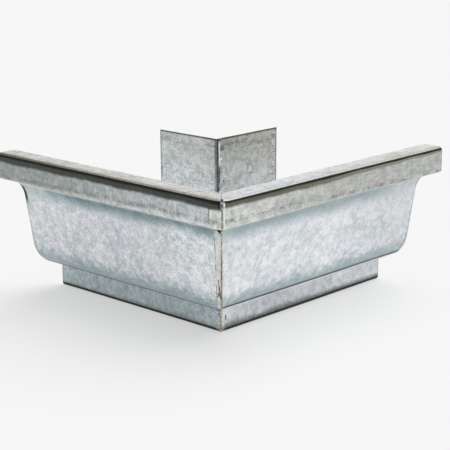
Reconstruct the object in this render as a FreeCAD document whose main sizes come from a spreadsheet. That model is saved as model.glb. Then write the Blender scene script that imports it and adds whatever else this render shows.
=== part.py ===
import FreeCAD, Part
import os
import Sketcher
from math import acos, atan2, pi, tan

# External angle for an ogee eaves gutter: two lengths of folded galvanised sheet, mitred and
# soldered so that the gutter turns the outside corner of a building.
# The right arm runs along +X and the left arm along +Y. Their backs lie against the two walls.

# Driving dimensions in millimetres
driving_sizes = {
    # the folded section, measured on its outside faces
    "gutter_width": 125.0,        # back face to the face of the front band
    "front_height": 86.0,         # underside of the floor to the top of the lip
    "back_height": 82.0,          # underside of the floor to the cut edge of the back
    "sheet_thickness": 0.6,
    "flange_depth": 12.0,         # width of the lip that returns over the channel
    "band_height": 15.0,          # upright band below the lip
    "soffit_depth": 15.6,         # band face back to the head of the leaning wall
    "wall_slant": 8.8,            # how far the wall leans out over its height
    "belly_run": 18.6,            # strip face out to the foot of the leaning wall
    "belly_rise": 7.1,            # height gained over that run
    "strip_height": 13.0,         # upright strip at the foot of the front
    # bends, as outside radii
    "fold_radius": 1.6,           # the two folds at the floor
    "crease_radius": 1.1,
    "belly_radius": 19.0,
    "throat_radius": 15.0,
    "band_radius": 2.4,
    "lip_radius": 2.4,
    # lengths of the two arms, from the outer corner of the lip
    "right_arm": 178.0,
    "left_arm": 173.0,
    # tabs of the right arm, folded round the corner onto the left arm
    "band_tab_width": 8.7,
    "band_tab_drop": 0.9,         # clearance between the tab and the foot of the band
    "notch_width": 2.6,           # nick at the foot of the band tab, beside the corner
    "notch_height": 1.8,
    "wall_tab_width": 4.8,        # at its top
    "wall_tab_taper": 2.0,        # narrower by this much at its foot
    "wall_tab_drop": 5.0,         # from the soffit down to its top
    "wall_tab_reach_down": 0.1,   # from the foot of the belly down to its foot
    "strip_tab_width": 3.4,
    "tab_corner_radius": 1.5,
    # narrow tab of the left arm's back, folded round the corner onto the right arm's back
    "back_tab_width": 2.4,        # from the fold's outside to the free edge
    "back_tab_foot": 3.0,
    # lap of the right arm's floor over the left arm's floor
    "lap_width": 10.0,
    "lap_step_run": 2.4,          # run of the step that lifts the lap by one sheet
    # solder
    "seam_bead": 0.9,             # thickness of the bead inside the front corner
    "seam_bead_width": 2.2,       # its reach each side of the mitre
    "floor_bead_width": 1.8,      # bead along the free edge of the floor lap
}

document = FreeCAD.newDocument("gutter_external_angle")
sheet = document.addObject("Spreadsheet::Sheet", "sizes")
for row, (alias, value) in enumerate(driving_sizes.items(), start=1):
    sheet.set(f"A{row}", alias)
    sheet.set(f"B{row}", str(value))
    sheet.setAlias(f"B{row}", alias)
document.recompute()

# Values that several pieces share, worked out from the sheet's cells
thickness = "sizes.sheet_thickness"
# The walls' corner on the floor plane: both backs meet there. The origin is the centre of the footprint.
wall_corner_x = "(sizes.gutter_width + sizes.sheet_thickness / 2 - sizes.right_arm / 2)"
wall_corner_y = "(sizes.gutter_width - sizes.left_arm / 2)"
soffit_level = "(sizes.front_height - sizes.band_height)"
strip_face = "(sizes.gutter_width - sizes.soffit_depth - sizes.wall_slant - sizes.belly_run)"
belly_level = "(sizes.strip_height + sizes.belly_rise)"
wall_foot = f"({strip_face} + sizes.belly_run)"
wall_head = f"({wall_foot} + sizes.wall_slant)"
# The throat may not eat more of the soffit than the band's own bend leaves
throat_half_turn = f"((90 deg - atan(sizes.wall_slant / ({soffit_level} - {belly_level}))) / 2)"
throat_limit = f"((sizes.soffit_depth - sizes.band_radius - 0.3) / tan({throat_half_turn}))"
throat_bend = f"min(sizes.throat_radius; {throat_limit})"
# In front the mitre is moved by one sheet, so that a tab is a straight continuation of its own
# arm. Within this distance of the walls it isn't moved.
mitre_jog = "(sizes.fold_radius + 2 * sizes.sheet_thickness)"
both_arms = "(sizes.right_arm + sizes.left_arm)"
above_all = "(sizes.front_height + sizes.back_height)"

upward = FreeCAD.Vector(0, 0, 1)


def number(expression):
    result = sheet.evalExpression(expression)
    return float(getattr(result, "Value", result))


def bind(item, bindings):
    for path, expression in bindings.items():
        item.setExpression(path, expression)
    return item


def bend_arc(before, corner, after, radius):
    # Arc that rounds a corner of a folded outline, with its two ends and its sense of turn
    towards = (before - corner).normalize()
    onwards = (after - corner).normalize()
    half_angle = acos(max(-1.0, min(1.0, towards.dot(onwards)))) / 2
    setback = radius / tan(half_angle)
    first = corner + towards * setback
    last = corner + onwards * setback
    middle_line = (towards + onwards).normalize()
    centre = corner + middle_line * ((first - corner).Length ** 2 + radius ** 2) ** 0.5
    left_turn = towards.cross(onwards).z < 0
    begin, finish = (first, last) if left_turn else (last, first)
    begin_angle = atan2(begin.y - centre.y, begin.x - centre.x)
    finish_angle = atan2(finish.y - centre.y, finish.x - centre.x)
    while finish_angle <= begin_angle:
        finish_angle += 2 * pi
    arc = Part.ArcOfCircle(Part.Circle(centre, upward, radius), begin_angle, finish_angle)
    return arc, first, last, left_turn


def place_point(sketch, point, axis_word, axis_line, expression, label):
    # Holds one coordinate of a point to an expression, or to the axis where it is nought
    if expression == "0":
        sketch.addConstraint(Sketcher.Constraint("PointOnObject", point, 1, axis_line))
        return
    constraint = sketch.addConstraint(
        Sketcher.Constraint(axis_word, -1, 1, point, 1, number(expression)))
    sketch.renameConstraint(constraint, label)
    sketch.setExpression(f"Constraints.{label}", expression)


def outline(name, corners, closed):
    # Sketch of a folded or cut outline. A corner is (across, up, bend): its place before
    # bending, and the bend's radius, or None where the corner is sharp.
    sketch = document.addObject("Sketcher::SketchObject", name)
    spots = [FreeCAD.Vector(number(across), number(up), 0) for across, up, bend in corners]
    count = len(corners)
    bends = []
    marks = []
    for index, (across, up, bend) in enumerate(corners):
        mark = sketch.addGeometry(Part.Point(spots[index]), True)
        place_point(sketch, mark, "DistanceX", -2, across, f"across_{index}")
        place_point(sketch, mark, "DistanceY", -1, up, f"up_{index}")
        marks.append(mark)
        if bend is None:
            bends.append(None)
            continue
        following = spots[(index + 1) % count]
        bends.append(bend_arc(spots[index - 1], spots[index], following, number(bend)))
    sides = []
    for index in range(count if closed else count - 1):
        end_index = (index + 1) % count
        start = bends[index][2] if bends[index] else spots[index]
        end = bends[end_index][1] if bends[end_index] else spots[end_index]
        side = sketch.addGeometry(Part.LineSegment(start, end), False)
        for mark_index, side_end in ((index, 1), (end_index, 2)):
            if bends[mark_index]:
                link = Sketcher.Constraint("PointOnObject", marks[mark_index], 1, side)
            else:
                link = Sketcher.Constraint("Coincident", side, side_end, marks[mark_index], 1)
            sketch.addConstraint(link)
        sides.append(side)
    for index, bend in enumerate(bends):
        if not bend:
            continue
        arc = sketch.addGeometry(bend[0], False)
        arc_start, arc_end = (1, 2) if bend[3] else (2, 1)
        sketch.addConstraint(Sketcher.Constraint("Tangent", sides[index - 1], 2, arc, arc_start))
        sketch.addConstraint(Sketcher.Constraint("Tangent", arc, arc_end, sides[index], 1))
        radius = sketch.addConstraint(Sketcher.Constraint("Radius", arc, bend[0].Radius))
        sketch.renameConstraint(radius, f"bend_{index}")
        sketch.setExpression(f"Constraints.bend_{index}", corners[index][2])
    return sketch


def turned(item, across, up):
    # Stands a sketch up: its first axis along the vector across, its second along up
    facing = across.cross(up)
    item.Placement.Rotation = FreeCAD.Rotation(across, up, facing, "XYZ")
    return item


def extruded(name, base, direction, length):
    solid = document.addObject("Part::Extrusion", name)
    solid.Base = base
    solid.DirMode = "Custom"
    solid.Dir = direction
    solid.Solid = True
    return bind(solid, {"LengthFwd": length})


def folded_face(name, path, depth):
    # Face of a folded sheet: its path thickened towards the channel
    face = document.addObject("Part::Offset2D", name)
    face.Source = path
    face.Mode = "Skin"
    face.Join = "Intersection"
    face.Fill = True
    return bind(face, {"Value": depth})


def diagonal_box(name, start, run, across, width, foot, height):
    # Box square to the mitre. It starts at (start, across) from the walls' corner: start is
    # measured out towards the front corner and across towards the left arm, each on X and Y.
    box = document.addObject("Part::Box", name)
    box.Placement.Rotation = FreeCAD.Rotation(upward, 135)
    return bind(box, {
        "Placement.Base.x": f"{wall_corner_x} - ({start}) - ({across})",
        "Placement.Base.y": f"{wall_corner_y} - ({start}) + ({across})",
        "Placement.Base.z": foot,
        "Length": width,
        "Width": run,
        "Height": height,
    })


def diagonal_wedge(name, start, run, across, width, near_foot, near_top, far_foot, far_top):
    # Bar along the mitre whose height changes across it, from its near side to its far side
    wedge = document.addObject("Part::Wedge", name)
    wedge.Placement.Rotation = FreeCAD.Rotation(upward, 45)
    for limit in ("Xmin", "Ymin", "X2min"):
        setattr(wedge, limit, 0)
    return bind(wedge, {
        "Placement.Base.x": f"{wall_corner_x} - ({start}) - ({run}) / sqrt(2) - ({across})",
        "Placement.Base.y": f"{wall_corner_y} - ({start}) - ({run}) / sqrt(2) + ({across})",
        "Xmax": run,
        "X2max": run,
        "Ymax": width,
        "Zmin": near_foot,
        "Zmax": near_top,
        "Z2min": far_foot,
        "Z2max": far_top,
    })


def boolean(kind, name, first, second):
    result = document.addObject(f"Part::{kind}", name)
    result.Base = first
    result.Tool = second
    return result


def joined(name, shapes):
    result = document.addObject("Part::MultiFuse", name)
    result.Shapes = shapes
    result.Refine = True
    return result


# The section, drawn on the outside of the sheet: across is the distance out from the wall.
# It goes down the back, across the floor, up the strip, out round the belly, up the leaning
# wall, out under the band, up the band and back over the channel.
section = [
    ("0", "sizes.back_height", None),
    ("0", "0", "sizes.fold_radius"),
    (strip_face, "0", "sizes.fold_radius"),
    (strip_face, "sizes.strip_height", "sizes.crease_radius"),
    (wall_foot, belly_level, "sizes.belly_radius"),
    (wall_head, soffit_level, throat_bend),
    ("sizes.gutter_width", soffit_level, "sizes.band_radius"),
    ("sizes.gutter_width", "sizes.front_height", "sizes.lip_radius"),
    ("sizes.gutter_width - sizes.flange_depth", "sizes.front_height", None),
]
right_path = turned(outline("right_path", section, False), FreeCAD.Vector(0, -1, 0), upward)
bind(right_path, {
    "Placement.Base.x": f"{wall_corner_x} - sizes.gutter_width - {thickness}",
    "Placement.Base.y": wall_corner_y,
})
left_path = turned(outline("left_path", section, False), FreeCAD.Vector(-1, 0, 0), upward)
bind(left_path, {
    "Placement.Base.x": wall_corner_x,
    "Placement.Base.y": f"{wall_corner_y} - sizes.gutter_width",
})

# The two lengths of gutter before the mitre is cut
along_right = FreeCAD.Vector(1, 0, 0)
along_left = FreeCAD.Vector(0, 1, 0)
right_length = extruded("right_length", folded_face("right_sheet", right_path, thickness),
                        along_right, f"sizes.right_arm + {thickness}")
left_length = extruded("left_length", folded_face("left_sheet", left_path, f"-{thickness}"),
                       along_left, "sizes.left_arm")

# Everything on the left arm's side of the mitre, in front of the jog and behind it
left_side_front = diagonal_box(
    "left_side_front", mitre_jog, "sizes.gutter_width * 2", f"{thickness} / 2", both_arms,
    "-1", above_all)
left_side_back = diagonal_box(
    "left_side_back", f"-{both_arms}", f"({both_arms} + {mitre_jog}) * sqrt(2)",
    "0", both_arms, "-1", above_all)
left_side = joined("left_side", [left_side_front, left_side_back])
right_mitred = boolean("Cut", "right_mitred", right_length, left_side)
left_mitred = boolean("Common", "left_mitred", left_length, left_side)

# Floor lap: the right arm's floor steps up by one sheet and lies on the left arm's floor.
# The field is the flat of the left arm's floor, clear of its two folds.
floor_margin = f"({mitre_jog} + {thickness})"
lap_field = bind(document.addObject("Part::Box", "lap_field"), {
    "Placement.Base.x": f"{wall_corner_x} - {strip_face} + {floor_margin}",
    "Placement.Base.y": f"{wall_corner_y} - sizes.gutter_width",
    "Length": f"{strip_face} - 2 * {floor_margin}",
    "Width": "sizes.gutter_width * 2",
    "Height": f"3 * {thickness}",
})
seam_run = "sizes.gutter_width * sqrt(2)"
step_start = f"{thickness} / 2"
lap_start = f"({step_start} + sizes.lap_step_run / sqrt(2))"
lap_end = f"({lap_start} + sizes.lap_width / sqrt(2))"
lap_step = diagonal_wedge("lap_step", "0", seam_run, step_start, "sizes.lap_step_run",
                          "0", thickness, thickness, f"2 * {thickness}")
lap_flat = diagonal_box("lap_flat", "0", seam_run, lap_start, "sizes.lap_width",
                        thickness, thickness)
floor_lap = boolean("Common", "floor_lap", joined("lap_strip", [lap_step, lap_flat]), lap_field)
step_room = diagonal_box("step_room", "0", seam_run, step_start, "sizes.lap_step_run",
                         "0", thickness)
floor_gap = boolean("Common", "floor_gap", step_room, lap_field)

# The left arm: its back is folded round the corner and lies on the right arm's back. The
# outline is a plan of the fold, from the outside corner of the bend.
left_fold_plan = outline("left_fold_plan", [
    ("0", "0", f"2 * {thickness}"),
    ("sizes.back_tab_width", "0", None),
    ("sizes.back_tab_width", thickness, None),
    (thickness, thickness, thickness),
    (thickness, f"4 * {thickness}", None),
    ("0", f"4 * {thickness}", None),
], True)
bind(left_fold_plan, {
    "Placement.Base.x": f"{wall_corner_x} - {thickness}",
    "Placement.Base.y": f"{wall_corner_y} - 2 * {thickness}",
    "Placement.Base.z": "sizes.back_tab_foot",
})
back_fold_height = "sizes.back_height - sizes.back_tab_foot"
left_fold = extruded("left_fold", left_fold_plan, upward, back_fold_height)
left_trimmed = boolean("Cut", "left_trimmed", left_mitred, floor_gap)
left_arm = joined("left_arm", [left_trimmed, left_fold])

# The right arm's back stops short of the corner, where the fold's bend begins
fold_room = bind(document.addObject("Part::Box", "fold_room"), {
    "Placement.Base.x": f"{wall_corner_x} - 3 * {thickness}",
    "Placement.Base.y": f"{wall_corner_y} - 3 * {thickness}",
    "Placement.Base.z": "sizes.back_tab_foot",
    "Length": f"4 * {thickness}",
    "Width": f"4 * {thickness}",
    "Height": back_fold_height,
})
right_trimmed = boolean("Cut", "right_trimmed", right_mitred, fold_room)

# The front tabs, cut to outlines drawn on the left arm's front face: across is the distance
# from the corner. They are nicked apart at the bends.
band_tab_top = "(sizes.front_height - sizes.lip_radius)"
band_tab_foot = f"({soffit_level} + sizes.band_tab_drop)"
band_tab_outline = outline("band_tab_outline", [
    ("0", band_tab_top, None),
    ("0", f"{band_tab_foot} + sizes.notch_height", None),
    ("sizes.notch_width", f"{band_tab_foot} + sizes.notch_height", None),
    ("sizes.notch_width", band_tab_foot, None),
    ("sizes.band_tab_width", band_tab_foot, "sizes.tab_corner_radius"),
    ("sizes.band_tab_width", band_tab_top, None),
], True)
wall_tab_top = f"({soffit_level} - sizes.wall_tab_drop)"
wall_tab_foot = f"({belly_level} - sizes.wall_tab_reach_down)"
wall_tab_reach = "(sizes.wall_tab_width / sqrt(2))"
wall_tab_foot_reach = "((sizes.wall_tab_width - sizes.wall_tab_taper) / sqrt(2))"
wall_tab_outline = outline("wall_tab_outline", [
    ("0", wall_tab_top, None),
    ("0", wall_tab_foot, None),
    (wall_tab_foot_reach, wall_tab_foot, "sizes.tab_corner_radius"),
    (wall_tab_reach, wall_tab_top, None),
], True)
strip_tab_outline = outline("strip_tab_outline", [
    ("0", "sizes.strip_height - sizes.crease_radius", None),
    ("0", "sizes.fold_radius", None),
    ("sizes.strip_tab_width", "sizes.fold_radius", "sizes.tab_corner_radius"),
    ("sizes.strip_tab_width", "sizes.strip_height - sizes.crease_radius", None),
], True)

# The band and the strip are upright, so their tabs are flat plates one sheet thick
tab_faces = {
    "band_tab": (band_tab_outline, "sizes.gutter_width"),
    "strip_tab": (strip_tab_outline, strip_face),
}
front_tabs = []
for name, (tab_outline, face) in tab_faces.items():
    turned(tab_outline, along_left, upward)
    bind(tab_outline, {
        "Placement.Base.x": f"{wall_corner_x} - ({face}) - {thickness}",
        "Placement.Base.y": f"{wall_corner_y} - ({face})",
    })
    front_tabs.append(extruded(name, tab_outline, along_right, thickness))

# The wall's tab follows the ogee: it is the left arm's own section moved out by one sheet,
# and its outline is drawn across the mitre, so that it keeps its width all the way down.
tab_path = turned(outline("tab_path", section, False), FreeCAD.Vector(-1, 0, 0), upward)
bind(tab_path, {
    "Placement.Base.x": f"{wall_corner_x} - {thickness}",
    "Placement.Base.y": f"{wall_corner_y} - sizes.gutter_width",
})
tab_length = extruded("tab_length", folded_face("tab_sheet", tab_path, f"-{thickness}"),
                      along_left, "sizes.gutter_width")
turned(wall_tab_outline, FreeCAD.Vector(-1, 1, 0).normalize(), upward)
bind(wall_tab_outline, {
    "Placement.Base.x": f"{wall_corner_x} - {strip_face} - {thickness} / 2",
    "Placement.Base.y": f"{wall_corner_y} - {strip_face} + {thickness} / 2",
})
wall_tab_prism = extruded("wall_tab_prism", wall_tab_outline, FreeCAD.Vector(-1, -1, 0).normalize(),
                          f"(sizes.gutter_width - {strip_face}) * sqrt(2)")
wall_tab_piece = boolean("Common", "wall_tab_piece", tab_length, wall_tab_prism)
wall_tab = boolean("Cut", "wall_tab", wall_tab_piece, left_arm)

right_arm = joined("right_arm", [right_trimmed, *front_tabs, wall_tab, floor_lap])

# Solder run down the inside of the front corner: where the linings of both arms meet, kept
# to a narrow band along the mitre, from the floor lap up to the lip.
lining_depth = f"({thickness} + sizes.seam_bead)"
right_lining = extruded("right_lining", folded_face("right_lining_face", right_path, lining_depth),
                        along_right, "sizes.gutter_width")
left_lining = extruded("left_lining", folded_face("left_lining_face", left_path, f"-{lining_depth}"),
                       along_left, "sizes.gutter_width")
seam_foot = f"(2 * {thickness} + sizes.seam_bead)"
seam_strip = diagonal_box(
    "seam_strip", f"{strip_face} - {floor_margin}", "sizes.gutter_width",
    f"{step_start} - sizes.seam_bead_width / sqrt(2)", "2 * sizes.seam_bead_width",
    seam_foot, f"sizes.front_height - {seam_foot} - sizes.lip_radius")
linings = boolean("Common", "linings", right_lining, left_lining)
seam_rough = boolean("Common", "seam_rough", linings, seam_strip)
seam_on_right = boolean("Cut", "seam_on_right", seam_rough, right_arm)
front_seam_solder = boolean("Cut", "front_seam_solder", seam_on_right, left_arm)

# Solder along the free edge of the floor lap
bead_bar = diagonal_wedge("bead_bar", "0", seam_run, lap_end, "sizes.floor_bead_width",
                          thickness, f"2 * {thickness}", thickness, f"1.2 * {thickness}")
floor_seam_solder = boolean("Common", "floor_seam_solder", bead_bar, lap_field)

document.recompute()
for item in document.Objects:
    if "Invalid" in item.State or "Error" in item.State:
        raise RuntimeError(f"{item.Label} could not be built: {item.State}")

os.makedirs("parts", exist_ok=True)
sub_parts = {
    "right_arm": right_arm,
    "left_arm": left_arm,
    "front_seam_solder": front_seam_solder,
    "floor_seam_solder": floor_seam_solder,
}
for name, item in sub_parts.items():
    item.Label = name
    if item.Shape.isNull() or not item.Shape.isValid():
        raise RuntimeError(f"{name} has no valid shape")
for name, item in sub_parts.items():
    item.Shape.exportStep(f"parts/{name}.step")
    box = item.Shape.BoundBox
    print(name, len(item.Shape.Solids), "solid", round(item.Shape.Volume, 1), "mm3",
          [round(value, 2) for value in (box.XMin, box.XMax, box.YMin, box.YMax, box.ZMin, box.ZMax)])
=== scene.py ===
from math import radians

import bmesh
import bpy
from mathutils import Matrix, Vector, noise
from mathutils.bvhtree import BVHTree


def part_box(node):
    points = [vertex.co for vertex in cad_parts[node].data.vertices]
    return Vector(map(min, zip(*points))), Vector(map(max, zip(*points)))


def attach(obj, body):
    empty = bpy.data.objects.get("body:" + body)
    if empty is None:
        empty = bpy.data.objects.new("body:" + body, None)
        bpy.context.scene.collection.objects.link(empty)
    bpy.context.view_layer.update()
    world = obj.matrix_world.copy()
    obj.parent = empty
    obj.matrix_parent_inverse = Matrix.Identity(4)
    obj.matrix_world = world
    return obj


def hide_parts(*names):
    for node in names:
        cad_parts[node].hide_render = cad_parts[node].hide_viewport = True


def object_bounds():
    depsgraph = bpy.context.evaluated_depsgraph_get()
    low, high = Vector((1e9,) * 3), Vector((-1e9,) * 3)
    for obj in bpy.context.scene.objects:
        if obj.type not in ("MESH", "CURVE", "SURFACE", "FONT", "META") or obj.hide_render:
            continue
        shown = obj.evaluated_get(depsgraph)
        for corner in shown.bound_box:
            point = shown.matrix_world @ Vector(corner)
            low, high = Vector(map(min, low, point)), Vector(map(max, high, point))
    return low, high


# An ogee eaves gutter's outside corner: two folded lengths of galvanised sheet, mitred, lapped
# and soldered. The right arm runs along +X and the left arm along +Y. Lengths are in metres.

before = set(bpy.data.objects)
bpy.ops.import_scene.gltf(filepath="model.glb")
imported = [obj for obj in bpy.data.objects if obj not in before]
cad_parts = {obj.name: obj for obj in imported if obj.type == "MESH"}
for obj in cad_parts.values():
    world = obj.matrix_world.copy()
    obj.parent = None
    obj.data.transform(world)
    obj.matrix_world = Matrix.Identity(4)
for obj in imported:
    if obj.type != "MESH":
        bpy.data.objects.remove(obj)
frameLow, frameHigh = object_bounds()
rightLow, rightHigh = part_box("right_arm")
leftLow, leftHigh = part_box("left_arm")
mm = 0.001

# Lengths are in metres, and levels are heights in millimetres, as the shader measures them
gutter = {
    "width": 125 * mm,            # wall to the face of the band
    "top": frameHigh.z,
    "lipBend": 1.3 * mm,          # how far the lip's bend reaches down
    "lipLevel": 86.0,
    "backLevel": 82.0,            # the cut edge of the back
    "bandLevel": 71.0,            # foot of the band, where the soffit starts
    "stripLevel": 13.0,           # top of the upright strip at the foot
}
# The tabs on the left arm: their widths from the mitre's plane, in millimetres
tabs = {
    "band": 8.7,
    "wall": 2.8,                  # at its own level
    "wallLevel": 20.0,
    "wallGrowth": 0.0435,         # for each millimetre above that
}
bandFaceRight = rightLow.y                       # y of the right arm's band
bandFaceLeft = leftLow.x                         # x of the left arm's band
wallY = bandFaceRight + gutter["width"]
wallX = bandFaceLeft + gutter["width"]


def wallTabWidth(height):
    # For a number or a wire
    return tabs["wall"] + (height - tabs["wallLevel"]) * tabs["wallGrowth"]


def tone(red, green, blue):
    # A colour as it is seen on a screen, 0 to 255, turned to the linear values that nodes take
    linear = []
    for level in (red, green, blue):
        share = level / 255
        linear.append(share / 12.92 if share <= 0.04045 else ((share + 0.055) / 1.055) ** 2.4)
    return (*linear, 1.0)


class Wire:
    # One output in a node tree. Sums, products and powers of it become Math nodes.
    def __init__(self, tree, socket):
        self.tree = tree
        self.socket = socket

    def maths(self, operation, *values, clamp=False):
        return self.tree.add("ShaderNodeMath", {"operation": operation, "use_clamp": clamp}, values)

    def __add__(self, other):
        return self.maths("ADD", self, other)

    def __sub__(self, other):
        return self.maths("SUBTRACT", self, other)

    def __mul__(self, other):
        return self.maths("MULTIPLY", self, other)

    def __truediv__(self, other):
        return self.maths("DIVIDE", self, other)

    def __pow__(self, other):
        return self.maths("POWER", self, other)

    def __rsub__(self, other):
        return self.maths("SUBTRACT", other, self)

    def __rtruediv__(self, other):
        return self.maths("DIVIDE", other, self)

    __radd__ = __add__
    __rmul__ = __mul__

    def clamped(self):
        return self.maths("ADD", self, 0.0, clamp=True)

    def size(self):
        return self.maths("ABSOLUTE", self)

    def rise(self, start, end):
        # 0 at start, 1 at end, smooth between; start may be the larger of the two
        settings = {"interpolation_type": "SMOOTHSTEP"}
        if not isinstance(start, Wire) and not isinstance(end, Wire) and start > end:
            return 1 - self.rise(end, start)
        return self.tree.add("ShaderNodeMapRange", settings, {0: self, 1: start, 2: end, 3: 0.0, 4: 1.0})

    def near(self, place, reach):
        # 1 at place, falling to 0 at that distance on both sides
        return (self - place).size().rise(reach, 0.0)


class Nodes:
    # A node tree under construction
    def __init__(self, nodeTree):
        self.nodeTree = nodeTree

    def add(self, kind, settings=None, values=(), output=0):
        # Any node: its settings come first, then the values or wires of its inputs
        node = self.nodeTree.nodes.new(kind)
        for setting, value in (settings or {}).items():
            if setting == "stops":
                for stop, (position, colour) in zip(node.color_ramp.elements, value):
                    stop.position = position
                    stop.color = colour
            else:
                setattr(node, setting, value)
        pairs = values.items() if isinstance(values, dict) else enumerate(values)
        for key, value in pairs:
            if isinstance(value, Wire):
                self.nodeTree.links.new(value.socket, node.inputs[key])
            else:
                node.inputs[key].default_value = value
        return Wire(self, node.outputs[output]) if len(node.outputs) else None


class Finish(Nodes):
    # A material
    def __init__(self, name):
        self.material = bpy.data.materials.new(name)
        self.material.use_nodes = True
        super().__init__(self.material.node_tree)
        self.nodeTree.nodes.clear()

    def mix(self, amount, first, second, blend="MIX"):
        settings = {"data_type": "RGBA", "blend_type": blend, "clamp_factor": True}
        return self.add("ShaderNodeMix", settings, {0: amount, 6: first, 7: second}, 2)

    def scaled(self, colour, amount):
        return self.add("ShaderNodeVectorMath", {"operation": "SCALE"}, {0: colour, 3: amount})

    def place(self):
        # Object coordinates, and their three parts in metres
        point = self.add("ShaderNodeTexCoord", output=3)
        parts = [self.add("ShaderNodeSeparateXYZ", None, [point], index) for index in range(3)]
        return point, parts

    def drawnOut(self, point, lengths, turn=(0, 0, 0), shift=(0, 0, 0)):
        # Coordinates in which a pattern comes out so many times longer along the turned axes
        values = {"Vector": point, "Scale": lengths, "Rotation": turn, "Location": shift}
        return self.add("ShaderNodeMapping", {"vector_type": "TEXTURE"}, values)

    def cloud(self, point, scale, detail=3.0, rough=0.55, bend=0.0):
        values = {"Vector": point, "Scale": scale, "Detail": detail, "Roughness": rough, "Distortion": bend}
        return self.add("ShaderNodeTexNoise", None, values)

    def grains(self, point, scale):
        # Cells with a random shade each, for the crystals of the zinc
        cells = self.add("ShaderNodeTexVoronoi", {"feature": "F1"}, {"Vector": point, "Scale": scale}, 1)
        return self.add("ShaderNodeSeparateColor", None, [cells])

    def close(self, shader):
        self.add("ShaderNodeOutputMaterial", None, {"Surface": shader})
        return self.material


class Growth(Nodes):
    # A geometry node tree that grows pieces along a path; its sizes are named inputs
    def __init__(self, name, sizes):
        super().__init__(bpy.data.node_groups.new(name, "GeometryNodeTree"))
        self.sockets = self.nodeTree.interface
        self.sockets.new_socket("Geometry", in_out="OUTPUT", socket_type="NodeSocketGeometry")
        self.sockets.new_socket("path", in_out="INPUT", socket_type="NodeSocketGeometry")
        self.sizes = sizes
        for sizeName, value in sizes.items():
            kind = "NodeSocketInt" if isinstance(value, int) else "NodeSocketFloat"
            self.sockets.new_socket(sizeName, in_out="INPUT", socket_type=kind)
        self.entry = self.nodeTree.nodes.new("NodeGroupInput")

    def size(self, name):
        return Wire(self, self.entry.outputs[name])

    def close(self, geometry, material):
        whole = self.add("GeometryNodeRealizeInstances", None, [geometry])
        smooth = self.add("GeometryNodeSetShadeSmooth", None, [whole])
        finished = self.add("GeometryNodeSetMaterial", None, {"Geometry": smooth, "Material": material})
        self.add("NodeGroupOutput", None, [finished])

    def grow(self, name, points, edges):
        # The tree's result on a path of these points and edges, as a plain mesh object
        pathMesh = bpy.data.meshes.new(name + "Path")
        pathMesh.from_pydata(points, edges, [])
        path = bpy.data.objects.new(name + "Path", pathMesh)
        bpy.context.scene.collection.objects.link(path)
        growth = path.modifiers.new("growth", "NODES")
        growth.node_group = self.nodeTree
        for socket in self.sockets.items_tree:
            if socket.name in self.sizes:
                growth[socket.identifier] = self.sizes[socket.name]
        grown = path.evaluated_get(bpy.context.evaluated_depsgraph_get())
        mesh = bpy.data.meshes.new_from_object(grown)
        mesh.name = name
        bpy.data.objects.remove(path)
        piece = bpy.data.objects.new(name, mesh)
        bpy.context.scene.collection.objects.link(piece)
        return piece


# The zinc coat. Heights and distances are in millimetres here, as the shader measures them.

zinc = {
    "pale": tone(238, 241, 244),
    "cloud": tone(214, 222, 227),
    "white": tone(252, 252, 253),
    "teal": tone(194, 214, 220),
    "lilac": tone(224, 222, 238),
    "cream": tone(236, 234, 222),
    "dust": tone(212, 205, 186),
    # flux in the fold, also a painted shade beside it
    "foldFluxAndShade": tone(74, 84, 78),
    # grit, also used for a painted shadow along the wall tab's edge
    "gritAndShade": tone(92, 98, 100),
    "shade": tone(142, 166, 170),     # grey-green painted shade in the hollows
    "underShade": tone(104, 122, 122),
    # stain, also used for painted shadows and the lip strip's painted dark reflection
    "stainAndShade": tone(58, 62, 48),
    "brown": tone(110, 98, 78),
    "burnt": tone(84, 76, 62),
    "black": tone(7, 7, 5),
    "metallic": 0.5,
    "roughness": 0.45,
    "innerRoughness": 0.22,           # more on the inner side of the front
    "bumpStrength": 0.22,
    "bumpDepth": 0.3 * mm,
    "broadClouds": 45.0,              # from here on, patterns to the metre
    "patches": 110.0,
    "hues": 130.0,
    "blotches": 260.0,
    "curls": 330.0,
    "crystals": 430.0,
    "flecks": 1000.0,
    "rollMarks": 1300.0,
    "brushMarks": 1500.0,
    "specks": 2300.0,
    "markLength": 9.0,                # of roll and brush marks, in widths
}
rightCoat = {
    # the arm as a whole
    "length": 178.0, "slant": 0.5, "contrast": 1.0, "hue": 0.16,
    "dimFrom": 95.0, "dimTo": 165.0, "dim": 0.12,
    # the band, its tone partly a painted dark reflection, its foot with a painted highlight, and the dark
    # strip at its top, a painted dark reflection
    "band": tone(232, 231, 222), "bandFar": tone(197, 196, 187), "bandReach": 80.0,
    "brush": 0.5, "rub": 0.8, "dust": 0.15, "footHighlight": 0.4, "footHighlightWidth": 1.3,
    "lip": tone(88, 88, 66), "lipFarTone": tone(160, 159, 140),
    "lipNear": 2.7, "lipFar": 1.6, "lipCore": 0.35,
    # the lip's top and its outer edge, the edge in painted shade
    "flange": tone(234, 238, 242), "flangeFar": tone(232, 230, 224),
    "lipEdge": tone(188, 190, 190), "lipEdgeFar": tone(176, 176, 168),
    # the leaning wall and its belly: shares of painted shade in the hollows, dust by the corner, and the
    # crease's painted shadow
    "throat": 0.72, "throatTop": 67.5, "underBand": 0.25, "belly": 0.78, "warm": 0.35,
    "ledge": 19.2, "crease": 1.0, "creaseTop": 21.5, "creaseShade": tone(26, 30, 24),
    # the strip at the foot, a painted shade on the left arm, and how far its foot darkens
    "strip": tone(252, 252, 252), "stripDimAt": 88.0, "stripDim": 0.22, "footDarkDepth": 4.2, "footShare": 0.85,
    # the inner side of the back
    "insideLow": tone(226, 228, 224), "insideHigh": tone(196, 194, 184), "streaks": 0.6,
}
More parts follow.
